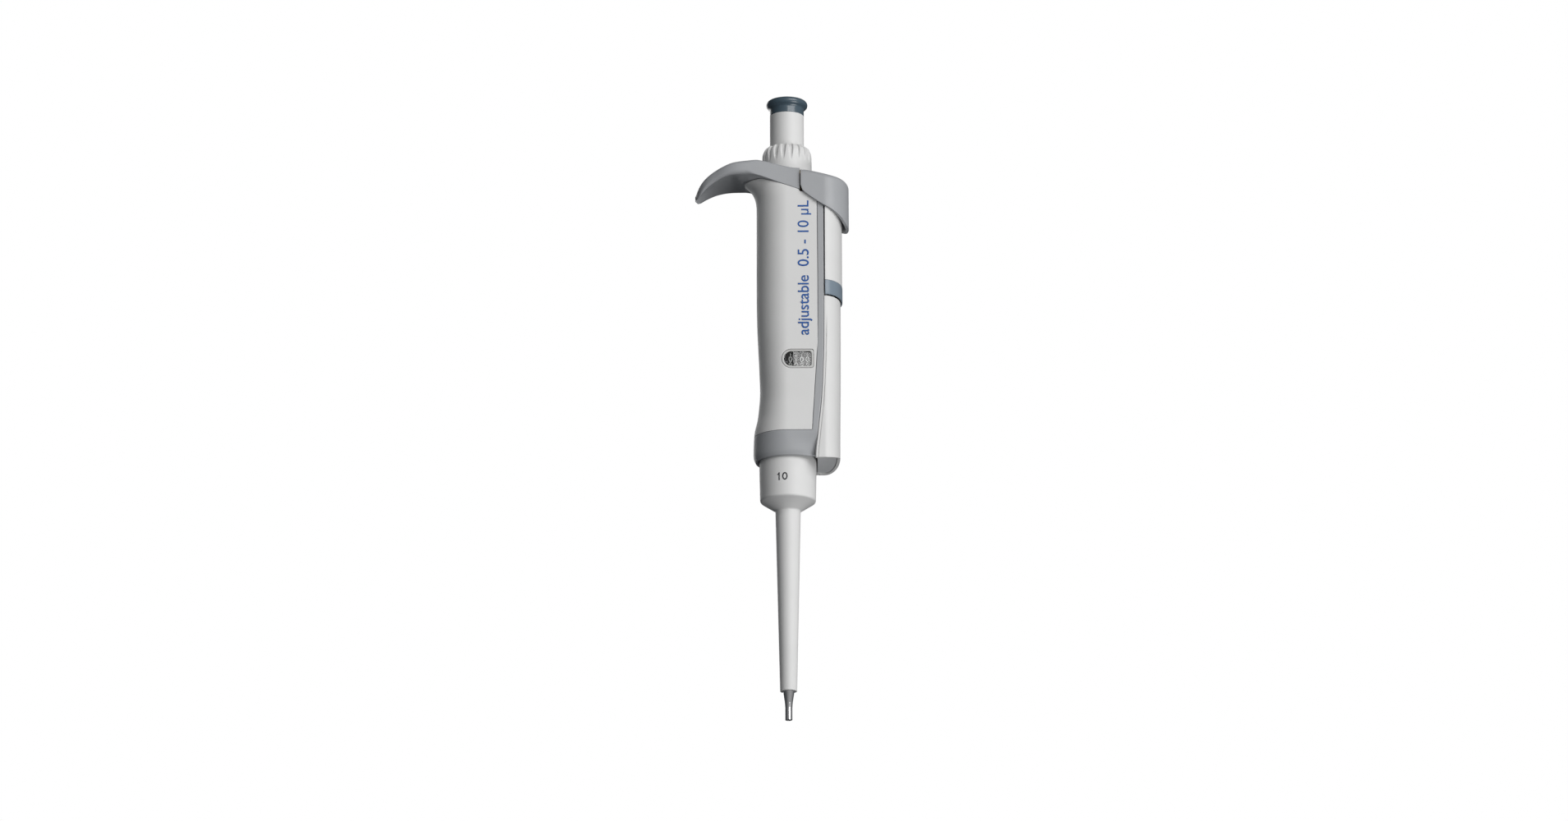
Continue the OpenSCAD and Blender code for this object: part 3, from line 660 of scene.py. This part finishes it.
def build_hook():
    """Grey head cap and finger hook in one smooth form, bored for the volume ring."""
    xs = [HOOK_X0 + 0.9 * smooth(k / 6) for k in range(6)]
    xs += list(np.linspace(HOOK_X0 + 0.95, -9, 60)) + list(np.linspace(-9, HEAD_X1, 14)[1:])
    loops = []
    for x in xs:
        w, crest, base = curve(x, HALF), curve(x, CREST), curve(x, LOWER)
        h = crest - base
        hooked = smooth((-11 - x) / 5)
        r_top = min(mix(0.9, 1.5, hooked), h * 0.42)
        r_low = min(mix(0.25, 1.5, hooked), h * 0.4)
        edge = crest
        hollow = 2 * smooth((-16.5 - x) / 5) * min(1, h / 3.2)
        belly = smooth((x + 17) / 3) * (1 - smooth((x + 11) / 2)) * (base - GRIP_Z1 - 0.15)
        near = [(-w + r_low * (1 - math.sin(a)), base + r_low * (1 - math.cos(a)))
                for a in [math.pi / 2 * k / 4 for k in range(5)]]
        near += [(-w, mix(base + r_low, edge - r_top, k / 4)) for k in range(1, 4)]
        near += [(-w + r_top * (1 - math.cos(a)), edge - r_top * (1 - math.sin(a)))
                 for a in [math.pi / 2 * k / 7 for k in range(8)]]
        top = []
        for k in range(1, 14):
            y = mix(-w + r_top, w - r_top, k / 14)
            top.append((y, edge))
        far = [(-y, z) for y, z in reversed(near)]
        under = []
        for k in range(1, 14):
            y = mix(w - r_low, -w + r_low, k / 14)
            bow = 1 - (y / (w - r_low + 1e-6)) ** 2
            under.append((y, base + hollow * bow - belly * bow))
        loops.append([(x, y, z) for y, z in near + top + far + under])
    n = len(loops[0])
    verts = [p for loop in loops for p in loop]
    faces = [(k * n + i, k * n + (i + 1) % n, (k + 1) * n + (i + 1) % n, (k + 1) * n + i)
             for k in range(len(loops) - 1) for i in range(n)]
    faces += [tuple(range(n)), tuple(range(len(verts) - 1, len(verts) - n - 1, -1))]
    piece = add_piece("hook", verts, faces, "housing", "grey_plastic", GREY,
                      ["finger_hook"])
    mesh = bmesh.new()
    mesh.from_mesh(piece.data)
    bmesh.ops.recalc_face_normals(mesh, faces=mesh.faces)
    mesh.to_mesh(piece.data)
    mesh.free()
    bore_out(piece, 9.55, 195, 225)
    bore_out(piece, 9.9, 210.2, 225)
    return thicken(piece, 0, 0.15, angle=50)


def bore_out(piece, radius, z0, z1):
    """Cuts a round bore on the main axis."""
    cutter = bmesh.new()
    bmesh.ops.create_cone(cutter, cap_ends=True, segments=128, radius1=radius * MM,
                          radius2=radius * MM, depth=(z1 - z0) * MM,
                          matrix=Matrix.Translation((0, 0, (z0 + z1) / 2 * MM)))
    mesh = bpy.data.meshes.new("cutter")
    cutter.to_mesh(mesh)
    cutter.free()
    tool = bpy.data.objects.new("cutter", mesh)
    bpy.context.collection.objects.link(tool)
    cut = piece.modifiers.new("bore", "BOOLEAN")
    cut.operation = "DIFFERENCE"
    cut.solver = "EXACT"
    cut.object = tool
    bpy.context.view_layer.update()
    shape = piece.evaluated_get(bpy.context.evaluated_depsgraph_get())
    result = bpy.data.meshes.new_from_object(shape)
    piece.modifiers.remove(cut)
    piece.data = result
    bpy.data.objects.remove(tool)
    bpy.data.meshes.remove(mesh)


# ---- turned pieces ----


def build_volume_ring():
    """Fluted setting ring: the flutes widen and deepen towards the top."""
    flutes, steps = 20, 20 * 24
    top = VOLUME_Z1
    shoulder = [(mix(7.15, RING_R, math.cos(a)), top - 3.8 + 3.8 * math.sin(a))
                for a in [math.pi / 2 * k / 16 for k in range(17)]]
    outside = [(RING_R + 0.1, VOLUME_Z0), (RING_R + 0.2, VOLUME_Z0 + 0.15),
               (RING_R + 0.2, VOLUME_Z0 + 1.1), (RING_R + 0.05, VOLUME_Z0 + 1.6),
               (RING_R, VOLUME_Z0 + 2.2)]
    outside += [(RING_R, z) for z in np.linspace(VOLUME_Z0 + 3, top - 4, 14)]
    inside = [(SLEEVE_R + 0.35, top), (SLEEVE_R + 0.2, top - 0.15),
              (SLEEVE_R + 0.2, top - 1.2), (SLEEVE_R + 0.35, top - 1.6),
              (SLEEVE_R + 0.35, VOLUME_Z0 + 1.9), (8.0, VOLUME_Z0 + 1.8), (8.0, VOLUME_Z0)]
    foot = top - 7.2

    def flute(r, z, a):
        rise = (z - foot) / (top - foot)
        if rise <= 0 or r < SLEEVE_R + 0.6:
            return r
        phase = (a * flutes / (2 * math.pi)) % 1 - 0.5
        half = 0.38 * math.sqrt(min(1, rise * 1.15))
        inside_flute = max(0, 1 - (phase / half) ** 2)
        cut = 0.85 * smooth(rise * 1.6) * smooth(inside_flute * 1.5) ** 0.8
        return max(r - cut, SLEEVE_R + 0.4)

    return turned("setting_ring", outside + shoulder + inside, "setting",
                  "white_plastic", WHITE, ["volume_ring"], steps, flute)


def build_button_parts():
    """White sleeve of the push button and its dark dished cap."""
    wall, rod = 1.1, 1.2
    z0, z1 = SLEEVE_Z0, SLEEVE_Z1
    profile = rounded([(rod, z1), (rod, z1 - 1.7), (SLEEVE_R - wall, z1 - 1.7),
                       (SLEEVE_R - wall, z0), (SLEEVE_R, z0), (SLEEVE_R, z1)],
                      {3: 0.2, 4: 0.2, 5: 0.15})
    turned("push_sleeve", profile, "plunger", "white_plastic", WHITE, ["button_sleeve"])
    points = [(rod, CAP_Z0 + 2.7), (rod, CAP_Z0), (SLEEVE_R, CAP_Z0), (SLEEVE_R, CAP_Z0 + 2.3)]
    flare = [(6.55, 237.45), (6.95, 237.8), (7.4, 238.15), (7.7, 238.55), (CAP_R, 239.0),
             (7.78, 239.4), (7.62, 239.85), (7.35, 240.2), (7.0, 240.45), (6.6, CAP_Z1),
             (6.1, 240.52), (5.4, 240.2), (4.4, 239.85), (3.2, 239.6), (1.6, 239.45),
             (0, 239.4)]
    profile = rounded(points, {2: 0.2}) + flare
    profile += [(0, CAP_Z0 + 2.7)]
    turned("push_cap", profile, "plunger", "cap_plastic", CAP, ["button_cap"])


def build_sleeve():
    """White ejector sleeve: tapered shaft, cone and collar."""
    wall = 0.65
    z0, z1 = EJECT_Z0, EJECT_Z1
    outside = [(3.13 - wall, z0), (3.13, z0), (4.7, 79.5), (10.37, 83.2),
               (COLLAR_R, 95), (COLLAR_R, z1),
               (9.3, z1), (9.2, 86.4), (4.7 - wall, 81), (4.7 - wall - 0.05, 79.8)]
    profile = rounded(outside, {0: 0.1, 1: 0.18, 2: 1.0, 3: 1.1, 5: 0.2, 6: 0.2})
    turned("sleeve", profile, "ejector", "white_plastic", WHITE, ["ejector_sleeve"])


def build_nozzle():
    """Polished nozzle with its seat, taper and rounded end."""
    bore = 0.62
    top = high("tip_cone")
    points = [(bore, 0), (1.35, 0), (1.35, 4.5), (1.5, 6.5), (2.15, 10.8), (2.15, top - 4),
              (2.9, top - 4), (2.9, top), (1.6, top), (1.6, top - 2.5), (bore, top - 2.5)]
    profile = rounded(points, {0: 0.1, 1: 0.14, 2: 1.5, 3: 1.5, 4: 1.5, 6: 0.1, 7: 0.1})
    turned("nozzle_tube", profile, "nozzle", "polished_steel", STEEL, ["tip_cone"], 96)


# ---- window, counter and markings ----


def prism(name, outer, inner, y0, y1, body, slot, material, replaces, edge):
    """A flat plate in the X-Z plane between y0 and y1, with or without an opening."""
    n = len(outer)
    verts = [(x, y, z) for y in (y0, y1) for x, z in outer]
    faces = [(i, (i + 1) % n, n + (i + 1) % n, n + i) for i in range(n)]
    if inner:
        verts += [(x, y, z) for y in (y0, y1) for x, z in inner]
        faces += [(2 * n + (i + 1) % n, 2 * n + i, 3 * n + i, 3 * n + (i + 1) % n)
                  for i in range(n)]
        for y in (0, n):
            faces += [(y + i, y + (i + 1) % n, 2 * n + y + (i + 1) % n, 2 * n + y + i)
                      for i in range(n)]
    else:
        faces += [tuple(range(n)), tuple(range(2 * n - 1, n - 1, -1))]
    piece = add_piece(name, verts, faces, body, slot, material, replaces)
    merge_close(piece)
    return thicken(piece, 0, edge)


def tilt_front(pane):
    """Makes the pane's front fall away to the right of the first digit."""
    mesh = bmesh.new()
    mesh.from_mesh(pane.data)
    for x in (1.2, 1.6, 2.0, 2.5, 3.2):
        bmesh.ops.bisect_plane(mesh, geom=mesh.verts[:] + mesh.edges[:] + mesh.faces[:],
                               plane_co=(x * MM, 0, 0), plane_no=(1, 0, 0))
    for v in mesh.verts:
        if v.co.y < -10.7 * MM:
            past = max(0, v.co.x / MM - 1.2)
            v.co.y += 0.085 * MM * (past - 1 + math.exp(-past))
    mesh.to_mesh(pane.data)
    mesh.free()


def build_window():
    """Light frame round the window, and its clear lens."""
    angles = [2 * math.pi * k / 96 for k in range(96)]
    outer = [window_outline(a, 0.38) for a in angles]
    inner = [window_outline(a, -0.35) for a in angles]
    lens = [window_outline(a, -0.4) for a in angles]
    prism("window_frame", outer, inner, -11.35, -10.1, "housing", "bezel_plastic",
          BEZEL, ["window_bezel"], 0.12)
    pane = prism("lens", lens, None, -11.1, -10.3, "housing", "clear_lens", CLEAR,
                 ["window_lens"], 0.15)
    tilt_front(pane)


def lettering(text, size):
    """Outline mesh of a short text, centred, cut finely enough to bend: (points, faces)."""
    font = bpy.data.curves.new("lettering", "FONT")
    font.body = text
    font.size = size
    font.align_x = "CENTER"
    font.align_y = "CENTER"
    font.resolution_u = 6
    font.offset = 0.03
    holder = bpy.data.objects.new("lettering", font)
    bpy.context.collection.objects.link(holder)
    bpy.context.view_layer.update()
    flat = bpy.data.meshes.new_from_object(
        holder.evaluated_get(bpy.context.evaluated_depsgraph_get()))
    mesh = bmesh.new()
    mesh.from_mesh(flat)
    bmesh.ops.remove_doubles(mesh, verts=mesh.verts, dist=1e-4)
    for axis in (0, 1):
        span = max(abs(v.co[axis]) for v in mesh.verts)
        normal = Vector((1, 0, 0)) if axis == 0 else Vector((0, 1, 0))
        for cut in np.arange(-span, span, 0.35):
            bmesh.ops.bisect_plane(mesh, geom=mesh.verts[:] + mesh.edges[:] + mesh.faces[:],
                                   plane_co=normal * float(cut), plane_no=normal)
    points = [tuple(v.co[:2]) for v in mesh.verts]
    faces = [tuple(v.index for v in f.verts) for f in mesh.faces]
    mesh.free()
    bpy.data.objects.remove(holder)
    bpy.data.meshes.remove(flat)
    bpy.data.curves.remove(font)
    return points, faces


def strokes(path, width):
    """A bent stroke as a strip: (points, faces)."""
    points, faces = [], []
    for i, (x, y) in enumerate(path):
        (ax, ay), (bx, by) = path[max(0, i - 1)], path[min(len(path) - 1, i + 1)]
        length = math.hypot(bx - ax, by - ay)
        nx, ny = -(by - ay) / length * width / 2, (bx - ax) / length * width / 2
        points += [(x + nx, y + ny), (x - nx, y - ny)]
        if i:
            faces.append((2 * i - 2, 2 * i - 1, 2 * i + 1, 2 * i))
    return points, faces


def ten():
    """A plain "10" in three strokes, 4 mm wide and 2.95 mm tall."""
    stem = [(-1.2, -1.47 + 0.295 * k) for k in range(11)]
    flag = [(-1.95, 0.62), (-1.62, 0.78), (-1.42, 1.0), (-1.28, 1.3)]
    loop = [(0.95 + 0.78 * math.cos(a), 1.22 * math.sin(a))
            for a in [2 * math.pi * k / 40 for k in range(41)]]
    points, faces = [], []
    for path, width in ((stem, 0.5), (flag, 0.36), (loop, 0.5)):
        more, polygons = strokes(path, width)
        faces += [tuple(len(points) + i for i in f) for f in polygons]
        points += more
    return points, faces


def printed(name, marks, body, slot, material):
    """Thin raised print. marks are (text, size, place), where place turns (u, v) into a point."""
    verts, faces = [], []
    for text, size, place in marks:
        points, polygons = lettering(text, size) if size else ten()
        base = len(verts)
        verts += [place(u, v) for u, v in points]
        faces += [tuple(base + i for i in f) for f in polygons]
    piece = add_piece(name, verts, faces, body, slot, material)
    layer = piece.modifiers.new("ink", "SOLIDIFY")
    layer.thickness = 0.03 * MM
    layer.offset = 1
    return piece


def build_counter():
    """White digits round each number wheel; at rest the window reads 01.00."""
    shown = {"tens": 0, "ones": 1, "tenths": 0, "hundredths": 0}
    for name, front in shown.items():
        node = "wheel_" + name
        middle = (low(node, 0) + high(node, 0)) / 2
        marks = []
        for digit in range(10):
            turn = math.radians(36 * (digit - front))

            def place(u, v, turn=turn, middle=middle):
                a = v / WHEEL_R + turn
                return (middle + u, AXLE_Y - WHEEL_R * math.cos(a),
                        AXLE_Z + WHEEL_R * math.sin(a))

            marks.append((str(digit), 3.0, place))
        printed("digits_" + name, marks, name, "bezel_plastic", INK_WHITE)


def build_markings():
    """Generic volume markings: the nominal volume on the collar, the range on the flank."""

    def on_collar(u, v):
        z = 90.3 + v
        r = mix(10.4, COLLAR_R, (z - 85.5) / 9.5) + 0.01
        a = (u - 2.1) / r
        return r * math.sin(a), -r * math.cos(a), z

    def on_flank(u, v):
        return 6.2 - v, -GRIP_HALF_W - 0.01, 171 + u

    printed("collar_mark", [("10", 0, on_collar)], "ejector", "cap_plastic", INK_GREY)
    printed("flank_mark", [("adjustable  0.5 - 10 µL", 5.9, on_flank)], "housing",
            "band_plastic", INK_BLUE)


# ---- light, camera and stage ----


def build_stage():
    """Plain pale floor far below, a white surround and soft light from the right."""
    floor = bpy.data.meshes.new("floor")
    floor.from_pydata([(-6, -6, -1), (6, -6, -1), (6, 6, -1), (-6, 6, -1)], [],
                      [(0, 1, 2, 3)])
    ground = bpy.data.objects.new("floor", floor)
    bpy.context.collection.objects.link(ground)
    pale, tree, shader = new_material("floor_pale")
    tree.links.new(tinted(tree, noise(tree, 2, 2), (0.85, 0.85, 0.85), 0.01),
                   shader.inputs["Base Color"])
    shader.inputs["Roughness"].default_value = 0.9
    floor.materials.append(pale)
    ground.visible_diffuse = False
    ground.visible_glossy = False

    world = bpy.data.worlds.new("surround")
    bpy.context.scene.world = world
    world.use_nodes = True
    tree = world.node_tree
    tree.nodes.clear()
    place = tree.nodes.new("ShaderNodeTexCoord")
    aim = tree.nodes.new("ShaderNodeVectorMath")
    aim.operation = "DOT_PRODUCT"
    aim.inputs[1].default_value = Vector((0.55, -0.75, 0.35)).normalized()
    tree.links.new(place.outputs["Generated"], aim.inputs[0])
    ramp = tree.nodes.new("ShaderNodeValToRGB")
    stops = ramp.color_ramp.elements
    stops[0].position = 0.0
    stops[0].color = (0.06, 0.065, 0.07, 1)
    stops[1].position = 1.0
    stops[1].color = (0.5, 0.5, 0.5, 1)
    middle = stops.new(0.5)
    middle.color = (0.11, 0.115, 0.12, 1)
    span = tree.nodes.new("ShaderNodeMapRange")
    span.inputs["From Min"].default_value = -1
    tree.links.new(aim.outputs["Value"], span.inputs["Value"])
    tree.links.new(span.outputs["Result"], ramp.inputs["Fac"])
    glow = tree.nodes.new("ShaderNodeBackground")
    glow.inputs["Strength"].default_value = 0.8
    tree.links.new(ramp.outputs["Color"], glow.inputs["Color"])
    plain = tree.nodes.new("ShaderNodeBackground")
    plain.inputs["Color"].default_value = (1, 1, 1, 1)
    ray = tree.nodes.new("ShaderNodeLightPath")
    choose = tree.nodes.new("ShaderNodeMixShader")
    out = tree.nodes.new("ShaderNodeOutputWorld")
    tree.links.new(ray.outputs["Is Camera Ray"], choose.inputs["Fac"])
    tree.links.new(glow.outputs["Background"], choose.inputs[1])
    tree.links.new(plain.outputs["Background"], choose.inputs[2])
    tree.links.new(choose.outputs["Shader"], out.inputs["Surface"])

    def soft_light(name, place, size, power):
        lamp = bpy.data.lights.new(name, "AREA")
        lamp.shape = "RECTANGLE"
        lamp.size, lamp.size_y = size
        lamp.energy = power
        holder = bpy.data.objects.new(name, lamp)
        holder.location = place
        aim_at = Vector((0, 0, 0.12)) - Vector(place)
        holder.rotation_euler = aim_at.to_track_quat("-Z", "Y").to_euler()
        bpy.context.collection.objects.link(holder)

    soft_light("key", (0.82, -1.22, 0.75), (1.1, 1.1), 15)
    soft_light("strip", (0.27, -1.51, 0.6), (0.2, 0.4), 1.6)
    soft_light("below", (0.9, -0.7, -0.9), (0.8, 0.8), 11)
    soft_light("back", (-0.5, 1.2, 0.5), (0.8, 0.8), 3)
    bpy.context.scene.view_settings.view_transform = "Standard"


def build_camera():
    """Long lens from below the horizon, square to the handle's near flank."""
    elevation, distance, roll = math.radians(-16.8), 2.2, math.radians(-0.17)
    frame_width = 0.5845
    target = Vector((-0.0014, 0, 0.1187))
    back = Vector((0, -math.cos(elevation), math.sin(elevation)))
    camera = bpy.data.cameras.new("camera")
    camera.sensor_width = 36
    camera.lens = camera.sensor_width * distance / frame_width
    holder = bpy.data.objects.new("camera", camera)
    look = (-back).to_track_quat("-Z", "Y").to_matrix().to_4x4()
    holder.matrix_world = (Matrix.Translation(target + back * distance) @ look
                           @ Matrix.Rotation(roll, 4, "Z"))
    bpy.context.collection.objects.link(holder)
    bpy.context.scene.camera = holder


def dress_frame():
    """Gives every CAD node its slot's procedural material."""
    slots = {part["node"]: part["material_slot"] for part in frame["record"]["subparts"]}
    for name, node in frame["nodes"].items():
        material = SLOT_MATERIALS[slots[name]]
        node.data.materials.clear()
        node.data.materials.append(material)


def press_springs():
    """Gives each spring node its own copy of its mesh; the joints, travels and fixed ends listed
    are not read.
    """
    for name, joint, travel, fixed_top in (
            ("main_spring", "plunger_press", 13.5, False),
            ("piston_spring", "plunger_press", 13.5, False),
            ("ejector_spring", "ejector_press", 7.0, False),
            ("cone_spring", "nozzle_spring", 2.5, True)):
        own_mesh(frame["nodes"][name])


build_camera()
build_stage()
dress_frame()
press_springs()
build_grip()
build_frame()
build_lips()
build_cover()
build_foot()
build_sheath("band", BAND_Z0, BAND_Z1, 0.0, "band_plastic", BAND, ["colour_band"])
build_sheath("upper_spine", SLIDE_Z0, SLIDE_Z1, -0.1, "white_plastic", WHITE,
             ["ejector_slide"])
build_button()
build_hook()
build_volume_ring()
build_button_parts()
build_sleeve()
build_nozzle()
build_window()
build_counter()
build_markings()
